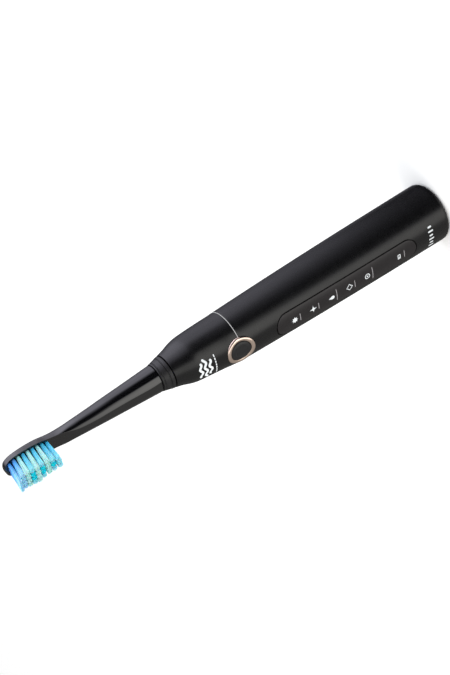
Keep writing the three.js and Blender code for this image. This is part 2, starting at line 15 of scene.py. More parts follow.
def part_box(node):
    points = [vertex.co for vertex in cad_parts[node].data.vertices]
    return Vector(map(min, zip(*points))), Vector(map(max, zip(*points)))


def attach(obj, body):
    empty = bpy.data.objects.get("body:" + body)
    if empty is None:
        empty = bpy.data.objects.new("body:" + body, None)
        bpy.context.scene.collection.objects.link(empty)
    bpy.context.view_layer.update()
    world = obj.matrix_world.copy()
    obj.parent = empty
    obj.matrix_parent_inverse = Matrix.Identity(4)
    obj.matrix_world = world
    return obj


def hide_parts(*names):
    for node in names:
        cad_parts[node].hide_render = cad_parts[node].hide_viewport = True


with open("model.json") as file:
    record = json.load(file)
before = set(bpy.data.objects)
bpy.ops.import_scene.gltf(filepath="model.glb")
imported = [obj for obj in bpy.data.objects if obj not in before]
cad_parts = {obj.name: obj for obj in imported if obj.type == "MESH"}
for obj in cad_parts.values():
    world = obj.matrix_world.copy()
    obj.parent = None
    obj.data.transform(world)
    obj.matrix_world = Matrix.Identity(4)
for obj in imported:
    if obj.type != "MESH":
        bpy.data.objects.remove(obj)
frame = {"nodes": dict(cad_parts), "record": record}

MM = 0.001
TAU = 2 * math.pi
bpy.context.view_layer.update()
scene = bpy.context.scene

# ---- sizes read from the frame --------------------------------------------------------------

BASE_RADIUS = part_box("barrel_shell")[1].x
SEAM_Z = (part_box("seam_band")[0].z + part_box("seam_band")[1].z) / 2
SEAM_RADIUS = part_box("seam_band")[1].x
SHOULDER_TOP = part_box("shoulder_shell")[1].z
BUTTON_Z = (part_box("button_bezel")[0].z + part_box("button_bezel")[1].z) / 2
BEZEL_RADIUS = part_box("button_bezel")[1].x
BUTTON_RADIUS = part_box("power_button")[1].x
BUTTON_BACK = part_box("power_button")[1].y
PANEL_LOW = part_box("indicator_panel")[0].z
PANEL_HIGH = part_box("indicator_panel")[1].z
PANEL_HALF_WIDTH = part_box("indicator_panel")[1].x
CAP_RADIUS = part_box("base_cap")[1].x
CAP_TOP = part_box("base_cap")[1].z
RING_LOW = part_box("head_ring")[0].z
RING_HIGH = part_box("head_ring")[1].z
NECK_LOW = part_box("brush_neck")[0].z
HEAD_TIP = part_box("brush_neck")[1].z
SHAFT_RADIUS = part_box("drive_shaft")[1].x
SHAFT_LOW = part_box("drive_shaft")[0].z
SHAFT_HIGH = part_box("drive_shaft")[1].z
DRIVE_Y = (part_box("rotor_core")[0].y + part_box("rotor_core")[1].y) / 2
LIGHT_Z = [
    (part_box(f"indicator_led_{i}")[0].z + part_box(f"indicator_led_{i}")[1].z) / 2 for i in range(1, 7)
]

SHELL_WALL = 1.6 * MM
BASE_ROUNDING = 2.6 * MM
EDGE = 0.12 * MM  # rounding of the moulded edges
BEZEL_GAP = 0.08 * MM  # from the bezel out to its hole
BUTTON_GAP = 0.12 * MM  # from the button out to the bezel
CAP_GAP = 0.12 * MM  # from the base cap out to the barrel
PANEL_GAP = 0.22 * MM  # from the panel's outline in the frame out to its pocket
PANEL_INSET = 0.2 * MM  # from that outline in to the visible panel

# ---- camera and light -----------------------------------------------------------------------

VIEW_AZIMUTH = math.radians(47.5)
VIEW_ELEVATION = math.radians(20.2)
VIEW_ROLL = math.radians(-121.8)
VIEW_DISTANCE = 0.8645
VIEW_TARGET = Vector((0.00004, 0.00005, 0.11665))
LENS = 106.67
LIGHT_ELEVATION = math.radians(35)
LIGHT_DISTANCE = 0.9
LIGHT_SIZE = (0.7, 0.9)
LIGHT_POWER = 4
COOL = (0.86, 0.92, 1.0)
WARM = (1.0, 0.95, 0.88)


def direction(azimuth, elevation):
    """Unit vector from the object towards a viewer, azimuth 0 in front and 90 on the right."""
    flat = math.cos(elevation)
    return Vector((math.sin(azimuth) * flat, -math.cos(azimuth) * flat, math.sin(elevation)))


def add_camera():
    back = direction(VIEW_AZIMUTH, VIEW_ELEVATION)
    level = Vector((math.cos(VIEW_AZIMUTH), math.sin(VIEW_AZIMUTH), 0))
    rise = back.cross(level)
    right = math.cos(VIEW_ROLL) * level + math.sin(VIEW_ROLL) * rise
    up = -math.sin(VIEW_ROLL) * level + math.cos(VIEW_ROLL) * rise
    data = bpy.data.cameras.new("camera")
    data.lens = LENS
    data.sensor_width = 36
    data.clip_start = 0.01
    data.clip_end = 20
    camera = bpy.data.objects.new("camera", data)
    scene.collection.objects.link(camera)
    turn = Matrix((right, up, back)).transposed().to_4x4()
    camera.matrix_world = Matrix.Translation(VIEW_TARGET + VIEW_DISTANCE * back) @ turn
    scene.camera = camera


def area_light(name, azimuth, colour):
    data = bpy.data.lights.new(name, "AREA")
    data.shape = "RECTANGLE"
    data.size, data.size_y = LIGHT_SIZE
    data.energy = LIGHT_POWER
    data.color = colour
    light = bpy.data.objects.new(name, data)
    scene.collection.objects.link(light)
    outward = direction(math.radians(azimuth), LIGHT_ELEVATION)
    light.visible_glossy = False
    light.location = VIEW_TARGET + LIGHT_DISTANCE * outward
    light.rotation_euler = outward.to_track_quat("Z", "Y").to_euler()


def add_world():
    world = bpy.data.worlds.new("studio")
    world.use_nodes = True
    background = world.node_tree.nodes["Background"]
    background.inputs["Color"].default_value = (1, 1, 1, 1)
    background.inputs["Strength"].default_value = 1.0
    scene.world = world


# ---- materials ------------------------------------------------------------------------------


class Shader:
    """A Principled material with small helpers for procedural detail in object space."""

    def __init__(self, name, **values):
        self.material = bpy.data.materials.new(name)
        self.material.use_nodes = True
        self.tree = self.material.node_tree
        self.bsdf = self.tree.nodes["Principled BSDF"]
        for socket, value in values.items():
            self.bsdf.inputs[socket.replace("_", " ")].default_value = value
        self.place = self.node("ShaderNodeTexCoord").outputs["Object"]

    def node(self, kind, **settings):
        made = self.tree.nodes.new(kind)
        for key, value in settings.items():
            setattr(made, key, value)
        return made

    def link(self, output, target):
        self.tree.links.new(output, target)

    def stretched(self, scale):
        mapping = self.node("ShaderNodeMapping")
        mapping.inputs["Scale"].default_value = scale
        self.link(self.place, mapping.inputs["Vector"])
        return mapping.outputs["Vector"]

    def noise(self, size, detail=3.0, stretch=None):
        texture = self.node("ShaderNodeTexNoise")
        texture.inputs["Scale"].default_value = 1 / size
        texture.inputs["Detail"].default_value = detail
        texture.inputs["Roughness"].default_value = 0.55
        vector = self.stretched(stretch) if stretch else self.place
        self.link(vector, texture.inputs["Vector"])
        return texture.outputs["Fac"]

    def spread(self, value, low, high, start=0.3, stop=0.7):
        spread = self.node("ShaderNodeMapRange")
        spread.inputs["From Min"].default_value = start
        spread.inputs["From Max"].default_value = stop
        spread.inputs["To Min"].default_value = low
        spread.inputs["To Max"].default_value = high
        self.link(value, spread.inputs["Value"])
        return spread.outputs["Result"]

    def colours(self, value, stops):
        node = self.node("ShaderNodeValToRGB")
        elements = node.color_ramp.elements
        while len(elements) < len(stops):
            elements.new(0.5)
        for element, (position, colour) in zip(elements, stops):
            element.position = position
            element.color = (*colour, 1)
        self.link(value, node.inputs["Fac"])
        return node.outputs["Color"]

    def base(self, output):
        self.link(output, self.bsdf.inputs["Base Color"])
        return self

    def rough(self, size, low, high, stretch=None):
        gloss = self.spread(self.noise(size, stretch=stretch), low, high)
        self.link(gloss, self.bsdf.inputs["Roughness"])
        return self

    def bump(self, height, distance, strength=1.0):
        bump = self.node("ShaderNodeBump")
        bump.inputs["Strength"].default_value = strength
        bump.inputs["Distance"].default_value = distance
        self.link(height, bump.inputs["Height"])
        self.link(bump.outputs["Normal"], self.bsdf.inputs["Normal"])
        return self


def mottled(name, colour, spread, size, rough, grain, depth, **values):
    """Moulded material: faint colour drift, uneven gloss and a fine surface grain."""
    shader = Shader(name, **values)
    dark = [channel * (1 - spread) for channel in colour]
    light = [channel * (1 + spread) for channel in colour]
    shader.base(shader.colours(shader.noise(size), [(0.3, dark), (0.7, light)]))
    shader.rough(size / 3, *rough)
    shader.bump(shader.noise(grain, detail=2.0), depth)
    return shader.material


def brushed(name, colour, rough, stretch, **values):
    """Metal with fine lines that run across the stretched axis."""
    shader = Shader(name, Metallic=1.0, **values)
    dark = [channel * 0.9 for channel in colour]
    shader.base(shader.colours(shader.noise(3 * MM), [(0.25, dark), (0.75, colour)]))
    shader.rough(0.25 * MM, *rough, stretch=stretch)
    shader.bump(shader.noise(0.12 * MM, stretch=stretch), 0.002 * MM, 0.4)
    return shader.material


def wound_copper(name):
    """Enamelled wire laid in rows round a vertical axis."""
    shader = Shader(name, Metallic=1.0)
    wave = shader.node("ShaderNodeTexWave", wave_type="BANDS", bands_direction="Z")
    wave.inputs["Scale"].default_value = 1 / (1.5 * MM)
    wave.inputs["Distortion"].default_value = 0.6
    shader.link(shader.place, wave.inputs["Vector"])
    shader.base(shader.colours(wave.outputs["Fac"], [(0.1, (0.25, 0.09, 0.03)), (0.6, (0.75, 0.33, 0.13))]))
    shader.rough(0.6 * MM, 0.25, 0.4)
    return shader.bump(wave.outputs["Fac"], 0.05 * MM).material


def board_green(name):
    """Solder mask over copper tracks."""
    shader = Shader(name, Roughness=0.35)
    cells = shader.node("ShaderNodeTexVoronoi", feature="DISTANCE_TO_EDGE", distance="MANHATTAN")
    cells.inputs["Scale"].default_value = 1 / (2.5 * MM)
    shader.link(shader.place, cells.inputs["Vector"])
    tracks = [(0.03, (0.05, 0.22, 0.09)), (0.07, (0.02, 0.1, 0.04))]
    shader.base(shader.colours(cells.outputs["Distance"], tracks))
    shader.rough(1 * MM, 0.3, 0.42)
    return shader.bump(cells.outputs["Distance"], 0.02 * MM, 0.5).material


def sleeve_blue(name):
    """Shrink sleeve of the cell, with a paler band round its foot."""
    shader = Shader(name)
    axes = shader.node("ShaderNodeSeparateXYZ")
    shader.link(shader.place, axes.inputs["Vector"])
    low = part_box("battery_cell")[0].z
    along = shader.spread(axes.outputs["Z"], 0, 1, low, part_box("battery_cell")[1].z)
    bands = [(0.12, (0.5, 0.55, 0.6)), (0.14, (0.03, 0.16, 0.5)), (0.9, (0.04, 0.2, 0.58))]
    shader.base(shader.colours(along, bands))
    shader.rough(4 * MM, 0.25, 0.4)
    return shader.bump(shader.noise(6 * MM), 0.05 * MM, 0.4).material


def filament(name, root, middle, tip):
    """Nylon, darkened towards the root as painted shade inside the packed tuft, paler along its length and
    tinted at the end.
    """
    shader = Shader(name, Roughness=0.42, Subsurface_Weight=0.25, Subsurface_Scale=0.6 * MM)
    along = shader.node("ShaderNodeAttribute", attribute_name="along").outputs["Fac"]
    # painted shade: the root colour, far darker than the rest, stands for the shade between the packed
    # strands near the plate
    colour = shader.colours(along, [(0.0, root), (0.4, middle), (1.0, tip)])
    tone = shader.node("ShaderNodeAttribute", attribute_name="tone").outputs["Fac"]
    mix = shader.node("ShaderNodeMix", data_type="RGBA", blend_type="MULTIPLY")
    mix.inputs["Factor"].default_value = 1.0
    shader.link(colour, mix.inputs["A"])
    shader.link(shader.colours(tone, [(0.0, (0.9, 0.91, 0.92)), (1.0, (1, 1, 1))]), mix.inputs["B"])
    shader.base(mix.outputs["Result"])
    return shader.bump(shader.noise(0.15 * MM), 0.004 * MM, 0.3).material


def floor_material():
    shader = Shader("floor_pale", Roughness=0.9, Specular_IOR_Level=0.1)
    shader.base(shader.colours(shader.noise(0.4), [(0.3, (0.95, 0.95, 0.95)), (0.7, (0.97, 0.97, 0.97))]))
    return shader.material


BLACK = (0.0032, 0.0032, 0.0038)
MATERIALS = {
    "satin_black": mottled("satin_black", BLACK, 0.15, 9 * MM, (0.25, 0.29), 0.11 * MM, 0.0016 * MM),
    "gloss_black": mottled(
        "gloss_black", (0.002, 0.002, 0.0025), 0.2, 12 * MM, (0.03, 0.06), 3 * MM, 0.004 * MM,
        Coat_Weight=0.8, Coat_Roughness=0.02,
    ),
    "matt_black": mottled(
        "matt_black", (0.01, 0.01, 0.011), 0.15, 4 * MM, (0.36, 0.44), 0.09 * MM, 0.004 * MM,
    ),
    "panel_black": mottled(
        "panel_black", (0.0115, 0.0095, 0.0105), 0.1, 7 * MM, (0.32, 0.38), 0.07 * MM, 0.002 * MM,
    ),
    "light_grey": mottled("light_grey", (0.5, 0.5, 0.5), 0.06, 3 * MM, (0.4, 0.5), 0.1 * MM, 0.002 * MM),
    "white_print": mottled(
        "white_print", (0.72, 0.76, 0.78), 0.04, 1 * MM, (0.45, 0.6), 0.06 * MM, 0.002 * MM,
    ),
    "grey_print": mottled(
        "grey_print", (0.3, 0.29, 0.3), 0.06, 1 * MM, (0.45, 0.6), 0.06 * MM, 0.002 * MM,
    ),
    "rose_gold": brushed("rose_gold", (0.99, 0.79, 0.67), (0.14, 0.22), (1, 1, 6)),
    "black_rubber": mottled(
        "black_rubber", (0.02, 0.02, 0.02), 0.2, 2 * MM, (0.65, 0.8), 0.1 * MM, 0.008 * MM,
    ),
    "clear_plastic": mottled(
        "clear_plastic", (0.8, 0.85, 0.88), 0.03, 3 * MM, (0.2, 0.3), 0.2 * MM, 0.002 * MM,
    ),
    "grey_plastic": mottled(
        "grey_plastic", (0.3, 0.31, 0.32), 0.1, 5 * MM, (0.4, 0.55), 0.12 * MM, 0.006 * MM,
    ),
    "circuit_board": board_green("circuit_board"),
    "chip_black": mottled("chip_black", (0.02, 0.02, 0.02), 0.2, 1 * MM, (0.45, 0.6), 0.06 * MM, 0.004 * MM),
    "steel": brushed("steel", (0.62, 0.63, 0.65), (0.2, 0.34), (1, 1, 12)),
    "copper": wound_copper("copper"),
    "magnet": brushed("magnet", (0.5, 0.51, 0.53), (0.25, 0.35), (4, 4, 1)),
    "cell_sleeve": sleeve_blue("cell_sleeve"),
    # The first colour of each bristle material is painted shade at the strands' roots; the others are the
    # nylon's tint.
    "bristle_blue": filament("bristle_blue", (0.04, 0.26, 0.75), (0.16, 0.54, 0.96), (0.42, 0.8, 0.98)),
    "bristle_mint": filament("bristle_mint", (0.3, 0.72, 0.74), (0.5, 0.87, 0.87), (0.55, 0.9, 0.88)),
    "bristle_cyan": filament("bristle_cyan", (0.03, 0.45, 0.75), (0.13, 0.66, 0.93), (0.35, 0.85, 0.95)),
    "bristle_teal": filament("bristle_teal", (0.0, 0.25, 0.4), (0.0, 0.62, 0.78), (0.01, 0.8, 0.93)),
}


# ---- mesh helpers ---------------------------------------------------------------------------


def smooth_between(stations):
    """Smooth value between (position, value) stations."""

    def value(at):
        last = len(stations) - 1
        k = next((i for i, (position, _) in enumerate(stations) if position > at), last) - 1
        k = min(max(k, 0), last - 1)
        (p0, v0), (p1, v1) = stations[k], stations[k + 1]
        before, after = stations[max(k - 1, 0)], stations[min(k + 2, last)]
        slope0 = (v1 - before[1]) / (p1 - before[0])
        slope1 = (after[1] - v0) / (after[0] - p0)
        span = p1 - p0
        t = min(max((at - p0) / span, 0), 1)
        rise = (2 * t**3 - 3 * t**2 + 1) * v0 + (3 * t**2 - 2 * t**3) * v1
        return rise + (t**3 - 2 * t**2 + t) * span * slope0 + (t**3 - t**2) * span * slope1

    return value


def evenly(low, high, count):
    return [low + (high - low) * i / (count - 1) for i in range(count)]


def loft(rings, loop=False, capped=True):
    """Skin over rings of equal length, capped at both ends or joined from the last to the first."""
    mesh = bmesh.new()
    rows = [[mesh.verts.new(point) for point in ring] for ring in rings]
    pairs = list(zip(rows, rows[1:]))
    if loop:
        pairs.append((rows[-1], rows[0]))
    for lower, upper in pairs:
        for i in range(len(lower)):
            j = (i + 1) % len(lower)
            mesh.faces.new((lower[i], lower[j], upper[j], upper[i]))
    if capped and not loop:
        mesh.faces.new(rows[0])
        mesh.faces.new(rows[-1])
    return mesh


def merged(meshes):
    """One mesh from several."""
    whole = bmesh.new()
    for part in meshes:
        data = bpy.data.meshes.new("part")
        part.to_mesh(data)
        part.free()
        whole.from_mesh(data)
        bpy.data.meshes.remove(data)
    return whole


def cleaned(mesh):
    bmesh.ops.remove_doubles(mesh, verts=mesh.verts, dist=1e-7)
    bmesh.ops.dissolve_degenerate(mesh, edges=mesh.edges, dist=1e-8)
    bmesh.ops.recalc_face_normals(mesh, faces=mesh.faces)
    return mesh


def to_object(name, mesh, crease=35):
    """Object from a bmesh, shaded smooth except along edges sharper than the crease."""
    data = bpy.data.meshes.new(name)
    mesh.to_mesh(data)
    mesh.free()
    data.shade_smooth()
    data.set_sharp_from_angle(angle=math.radians(crease))
    made = bpy.data.objects.new(name, data)
    scene.collection.objects.link(made)
    return made


def finished(piece, body, material, replaces=()):
    """Gives a piece its material, hangs it on its body and hides the CAD nodes it replaces."""
    piece.data.materials.clear()
    piece.data.materials.append(MATERIALS[material])
    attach(piece, body)
    if replaces:
        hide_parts(*replaces)
    return piece


def circle(radius, z, count):
    turns = [TAU * i / count for i in range(count)]
    return [Vector((radius * math.sin(t), -radius * math.cos(t), z)) for t in turns]


def turned(profile, count=160):
    """Solid of revolution about Z. A profile off the axis closes on itself."""
    closed = profile[0][0] > 0 or profile[-1][0] > 0
    return cleaned(loft([circle(max(radius, 0), z, count) for radius, z in profile], loop=closed))


def rounded(profile, radius, corners):
    """Profile with the listed corners replaced by small curves."""
    smooth = []
    for k, (r, z) in enumerate(profile):
        if k not in corners:
            smooth.append((r, z))
            continue
        here = Vector((r, z))
        before = Vector(profile[k - 1])
        after = Vector(profile[(k + 1) % len(profile)])
        start = here + (before - here).normalized() * min(radius, (before - here).length * 0.45)
        stop = here + (after - here).normalized() * min(radius, (after - here).length * 0.45)
        for t in evenly(0, 1, 5):
            point = (1 - t) ** 2 * start + 2 * t * (1 - t) * here + t**2 * stop
            smooth.append((point.x, point.y))
    return smooth


def without(piece, cutter):
    """Cuts a closed tool out of a piece and removes the tool."""
    modifier = piece.modifiers.new("cut", "BOOLEAN")
    modifier.operation = "DIFFERENCE"
    modifier.solver = "EXACT"
    modifier.object = cutter
    bpy.context.view_layer.update()
    cut = bpy.data.meshes.new_from_object(piece.evaluated_get(bpy.context.evaluated_depsgraph_get()))
    piece.modifiers.clear()
    piece.data = cut
    bpy.data.objects.remove(cutter)
    cut.shade_smooth()
    cut.set_sharp_from_angle(angle=math.radians(35))
    return piece


# ---- casing ---------------------------------------------------------------------------------

shoulder_radius = smooth_between([
    (SEAM_Z, SEAM_RADIUS), (124 * MM, 11.65 * MM), (132 * MM, 11.1 * MM), (137 * MM, 10.65 * MM),
    (140.5 * MM, 9.85 * MM), (143.6 * MM, 8.8 * MM), (SHOULDER_TOP, 7.9 * MM),
])


def casing_radius(z):
    if z > SEAM_Z:
        return shoulder_radius(z)
    return BASE_RADIUS - (BASE_RADIUS - SEAM_RADIUS) * (z / SEAM_Z) ** 2


shoulder_lean = smooth_between([
    (SEAM_Z, 0), (119 * MM, 0.1 * MM), (124 * MM, 0.5 * MM), (132 * MM, 0.9 * MM),
    (140 * MM, 1.1 * MM), (145 * MM, DRIVE_Y), (SHOULDER_TOP, DRIVE_Y),
])


def on_casing(x, z, height=0.0):
    """Point in front of the casing at a width, a level and a height above its surface."""
    radius = casing_radius(z) + height
    return Vector((x, shoulder_lean(z) - math.sqrt(max(radius**2 - x**2, 0)), z))


def leant(mesh):
    """Moves every level of a mesh back with the lean of the shoulder."""
    for vert in mesh.verts:
        vert.co.y += shoulder_lean(vert.co.z)
    return mesh


def on_shaft_axis(mesh):
    bmesh.ops.translate(mesh, verts=mesh.verts, vec=(0, DRIVE_Y, 0))
    return mesh


BUTTON_POINTS = 96
SLOT_END_POINTS = 24
SLOT_SIDE_POINTS = 40


def round_on_casing(radius, height):
    """Ring of points round the button's axis, laid on the casing."""
    turns = [TAU * i / BUTTON_POINTS for i in range(BUTTON_POINTS)]
    return [on_casing(radius * math.cos(t), BUTTON_Z + radius * math.sin(t), height) for t in turns]


def slot_on_casing(half_width, height):
    """Outline of the panel's slot, laid on the casing. A half width of 0 is its middle line."""
    high = PANEL_HIGH - PANEL_HALF_WIDTH
    low = PANEL_LOW + PANEL_HALF_WIDTH
    points = []
    for t in evenly(0, math.pi, SLOT_END_POINTS):
        points.append((half_width * math.cos(t), high + half_width * math.sin(t)))
    points += [(-half_width, z) for z in evenly(high, low, SLOT_SIDE_POINTS)[1:-1]]
    for t in evenly(math.pi, TAU, SLOT_END_POINTS):
        points.append((half_width * math.cos(t), low + half_width * math.sin(t)))
    points += [(half_width, z) for z in evenly(low, high, SLOT_SIDE_POINTS)[1:-1]]
    return [on_casing(x, z, height) for x, z in points]


def button_cutter(name):
    """Tool for the bezel's hole: straight walls, then a small chamfer at the casing's surface."""
    bore = BEZEL_RADIUS + BEZEL_GAP
    deep, proud, middle = -3 * MM, 0.6 * MM, 0.01 * MM
    shape = [
        (middle, deep), (bore / 2, deep), (bore, deep), (bore, -0.1 * MM), (bore + 0.05 * MM, 0.02 * MM),
        (bore + 0.3 * MM, proud), (bore / 2, proud), (middle, proud),
    ]
    rings = [round_on_casing(radius, height) for radius, height in shape]
    return to_object(name, cleaned(loft(rings)))


def panel_cutter():
    """Tool for the panel's pocket, with a chamfer at the casing's surface."""
    edge = PANEL_HALF_WIDTH + PANEL_GAP
    low, high = -0.95 * MM, 0.4 * MM
    shape = [(edge * t, low) for t in (0.001, 0.25, 0.5, 0.75, 1)] + [(edge, -0.12 * MM)]
    shape += [(edge + 0.12 * MM, 0.02 * MM), (edge + 0.4 * MM, high)]
    shape += [(edge * t, high) for t in (0.75, 0.5, 0.25, 0.001)]
    rings = [slot_on_casing(half_width, height) for half_width, height in shape]
    return to_object("panel_cutter", cleaned(loft(rings)))


SEAM_HALF = 0.15 * MM
SEAM_ROOM = 0.06 * MM


def build_barrel():
    """Lower shell with a rounded foot, open below for the base cap."""
    top = SEAM_Z - SEAM_HALF - SEAM_ROOM
    throat = CAP_RADIUS + CAP_GAP
    floor = 6 * MM
    quarter = evenly(0, math.pi / 2, 14)
    centre = BASE_RADIUS - BASE_ROUNDING
    arc = [
        (centre + BASE_ROUNDING * math.sin(t), BASE_ROUNDING * (1 - math.cos(t))) for t in quarter
    ]
    outside = [(casing_radius(z), z) for z in evenly(BASE_ROUNDING, top, 70)[1:]]
    inside = [(casing_radius(z) - SHELL_WALL, z) for z in evenly(top, floor, 12)]
    profile = [(throat, 0.0)] + arc + outside + inside + [(throat, floor)]
    crown = len(arc) + len(outside)
    shell = to_object("barrel", turned(rounded(profile, EDGE, {0, crown, crown + 1})))
    without(shell, panel_cutter())
    without(shell, button_cutter("barrel_cutter"))
    finished(shell, "handle", "satin_black", replaces=["barrel_shell"])


def build_shoulder():
    """Upper shell, which leans back as it narrows to its mouth round the shaft."""
    low = SEAM_Z + SEAM_HALF + SEAM_ROOM
    roof = SHOULDER_TOP - 1.5 * MM
    mouth = 4.25 * MM
    outside = [(casing_radius(z), z) for z in evenly(low, SHOULDER_TOP, 50)]
    inside = [(casing_radius(z) - SHELL_WALL, z) for z in evenly(roof, low, 12)]
    profile = outside + [(mouth, SHOULDER_TOP), (mouth, roof)] + inside
    edges = {0, len(outside) - 1, len(outside)}
    shell = to_object("shoulder", leant(turned(rounded(profile, 2 * EDGE, edges))))
    without(shell, button_cutter("shoulder_cutter"))
    finished(shell, "handle", "satin_black", replaces=["shoulder_shell"])


def build_seam_band():
    outer = SEAM_RADIUS - 0.02 * MM
    inner = SEAM_RADIUS - 1.2 * MM
    low, high = SEAM_Z - SEAM_HALF, SEAM_Z + SEAM_HALF
    profile = [(inner, low), (outer, low), (outer, high), (inner, high)]
    band = to_object("seam_ring", turned(rounded(profile, 0.08 * MM, {1, 2})))
    without(band, button_cutter("seam_cutter"))
    finished(band, "handle", "light_grey", replaces=["seam_band"])


def build_panel():
    """Inlay with round ends and softened edges, level with the casing."""
    edge = PANEL_HALF_WIDTH - PANEL_INSET
    shape = [
        (0.0, -0.8), (edge / MM - 0.05, -0.8), (edge / MM, -0.7), (edge / MM, -0.12),
        (edge / MM - 0.04, -0.04), (edge / MM - 0.14, -0.005), (edge / MM - 0.5, 0.0),
        (edge * 0.75 / MM, 0.0), (edge * 0.5 / MM, 0.0), (edge * 0.25 / MM, 0.0), (0.0, 0.0),
    ]
    rings = [slot_on_casing(width * MM, height * MM) for width, height in shape]
    panel = to_object("front_panel", cleaned(loft(rings, capped=False)))
    finished(panel, "handle", "panel_black", replaces=["indicator_panel"])


def build_base_cap():
    """Plug with the charging well in its underside and a groove for the O-ring."""
    well = 4.6 * MM
    sleeve = well + 1.2 * MM
    roof = CAP_TOP - 1.2 * MM
    groove = 9.2 * MM  # seat of the O-ring
    profile = [
        (0.0, roof), (well, roof), (well, 0.0), (CAP_RADIUS, 0.0), (CAP_RADIUS, 3 * MM),
        (groove, 3 * MM), (groove, 4.4 * MM), (CAP_RADIUS, 4.4 * MM), (CAP_RADIUS, 5.6 * MM),
        (sleeve, 5.6 * MM), (sleeve, CAP_TOP), (0.0, CAP_TOP),
    ]
    cap = to_object("bottom_cap", turned(rounded(profile, 0.35 * MM, {1, 2, 3, 8, 10}), 128))
    finished(cap, "handle", "satin_black", replaces=["base_cap"])


# ---- button ---------------------------------------------------------------------------------


def build_bezel():
    """Domed ring that stands a little proud of the casing."""
    outer = BEZEL_RADIUS / MM
    bore = (BUTTON_RADIUS + BUTTON_GAP) / MM
    shape = [
        (bore, -1.6), (bore, -0.25), (bore + 0.06, -0.08), (bore + 0.22, 0.08), (bore + 0.6, 0.28),
        (outer - 1.0, 0.42), (outer - 0.7, 0.45), (outer - 0.4, 0.42), (outer - 0.18, 0.32),
        (outer - 0.05, 0.18), (outer, 0.0), (outer, -0.3), (outer, -1.6),
    ]
    rings = [round_on_casing(radius * MM, height * MM) for radius, height in shape]
    bezel = to_object("bezel_ring", cleaned(loft(rings, loop=True)))
    finished(bezel, "handle", "rose_gold", replaces=["button_bezel"])


def build_button():
    """Cap with a raised rim round a shallow dish, and a flat back."""
    edge = BUTTON_RADIUS / MM
    shape = [
        (edge, -0.3), (edge - 0.06, -0.16), (edge - 0.2, -0.05), (edge - 0.5, 0.02),
        (edge - 1.2, 0.05), (edge - 1.65, 0.04), (edge - 1.8, -0.02), (edge - 1.95, -0.16),
        (edge - 2.1, -0.22), (edge - 2.6, -0.24), (edge - 3.6, -0.28), (0.02, -0.32),
    ]
    rings = [round_on_casing(radius * MM, height * MM) for radius, height in shape]
    back = [Vector((point.x, BUTTON_BACK, point.z)) for point in round_on_casing(edge * MM, 0)]
    cap = to_object("button_cap", cleaned(loft([back] + rings)))
    finished(cap, "button", "matt_black", replaces=["power_button"])


# ---- printed marks --------------------------------------------------------------------------

MARK_HIGH = 0.012 * MM
MARK_LOW = -0.05 * MM


def stroke(points, width, closed=False):
    """Flat line of print laid on the casing, with round ends when it isn't closed."""
    path = [Vector(point) for point in points]
    sizes = [width / 2] * len(path)
    if not closed:
        first = (path[0] - path[1]).normalized()
        last = (path[-1] - path[-2]).normalized()
        bulge = [(math.sin(t), math.cos(t)) for t in evenly(0, math.pi / 2, 6)[1:]]
        start, stop = path[0], path[-1]
        path = [start + first * s * width / 2 for s, _ in reversed(bulge)] + path
        sizes = [max(c, 0.05) * width / 2 for _, c in reversed(bulge)] + sizes
        path += [stop + last * s * width / 2 for s, _ in bulge]
        sizes += [max(c, 0.05) * width / 2 for _, c in bulge]
    rings = []
    count = len(path)
    for k in range(count):
        before = path[k - 1] if closed or k > 0 else path[0]
        after = path[(k + 1) % count] if closed or k < count - 1 else path[-1]
        along = (after - before).normalized()
        side = Vector((-along.y, along.x)) * sizes[k]
        left, right = path[k] + side, path[k] - side
        rings.append([
            on_casing(left.x, left.y, MARK_LOW), on_casing(left.x, left.y, MARK_HIGH),
            on_casing(right.x, right.y, MARK_HIGH), on_casing(right.x, right.y, MARK_LOW),
        ])
    return cleaned(loft(rings, loop=closed))


def solid_mark(centre, outline):
    """Filled mark laid on the casing, from the points of its outline."""
    middle = Vector(centre)
    scales = [(0.01, MARK_LOW), (1, MARK_LOW), (1, MARK_HIGH), (0.5, MARK_HIGH), (0.01, MARK_HIGH)]
    rings = []
    for scale, height in scales:
        ring = [middle + Vector(point) * scale for point in outline]
        rings.append([on_casing(point.x, point.y, height) for point in ring])
    return cleaned(loft(rings))


def star(points, outer, inner):
    corners = []
    for i in range(2 * points):
        reach = outer if i % 2 == 0 else inner
        angle = math.pi * i / points
        corners.append((reach * math.sin(angle), reach * math.cos(angle)))
    return corners


OUTLINE_POINTS = 28


def round_outline(radius):
    turns = [TAU * i / OUTLINE_POINTS for i in range(OUTLINE_POINTS)]
    return [(radius * math.sin(t), radius * math.cos(t)) for t in turns]


def drop_outline(size):
    shape = []
    for i in range(OUTLINE_POINTS):
        angle = TAU * i / OUTLINE_POINTS
        narrow = math.sin(angle / 2) ** 1.5
        shape.append((size * 0.8 * math.sin(angle) * narrow, size * math.cos(angle)))
    return shape


LINE = 0.36 * MM
SYMBOL_RISE = 0.2 * MM  # of each pictogram above the middle of its light


